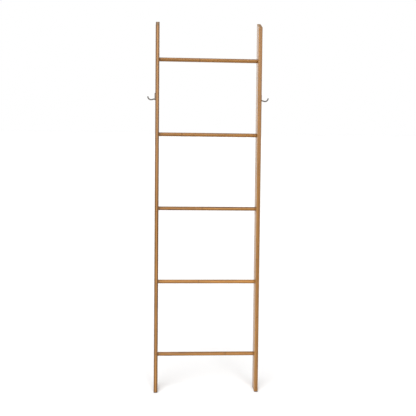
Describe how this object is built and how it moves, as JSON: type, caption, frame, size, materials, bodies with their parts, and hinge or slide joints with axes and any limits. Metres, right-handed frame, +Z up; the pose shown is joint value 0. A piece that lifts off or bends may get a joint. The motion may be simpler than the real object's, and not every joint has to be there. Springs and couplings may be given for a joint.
{
  "type": "leaning ladder towel rack",
  "caption": "Bamboo ladder that leans on a wall, with round rungs for towels between two flat rails and a small steel hook on the outside of each rail.",
  "frame": {"origin": "middle of the outline at floor level", "axes": "+X to the right seen from the front, +Y towards the wall, +Z up"},
  "size_m": [0.5768, 0.3524, 1.7275],
  "materials": {
    "bamboo_rail": "satin lacquer over caramel bamboo",
    "bamboo_rung": "satin lacquer over caramel bamboo",
    "bamboo_plug": "satin",
    "hook_nickel": "dark nickel plate",
    "screw_steel": "bright zinc",
    "bolt_steel": "zinc plated",
    "insert_brass": "turned",
    "pad_rubber": "matt"
  },
  "bodies": {
    "root": {"left_rail": "bamboo_rail", "left_rung_bolts": "bolt_steel", "left_threaded_inserts": "insert_brass", "left_cover_plugs": "bamboo_plug", "left_hook_plate": "hook_nickel", "left_hook_arm": "hook_nickel", "left_hook_screws": "screw_steel", "left_foot_pad": "pad_rubber", "left_wall_pad": "pad_rubber", "right_rail": "bamboo_rail", "right_rung_bolts": "bolt_steel", "right_threaded_inserts": "insert_brass", "right_cover_plugs": "bamboo_plug", "right_hook_plate": "hook_nickel", "right_hook_arm": "hook_nickel", "right_hook_screws": "screw_steel", "right_foot_pad": "pad_rubber", "right_wall_pad": "pad_rubber", "rung_1": "bamboo_rung", "rung_2": "bamboo_rung", "rung_3": "bamboo_rung", "rung_4": "bamboo_rung", "rung_5": "bamboo_rung"}
  },
  "joints": []
}
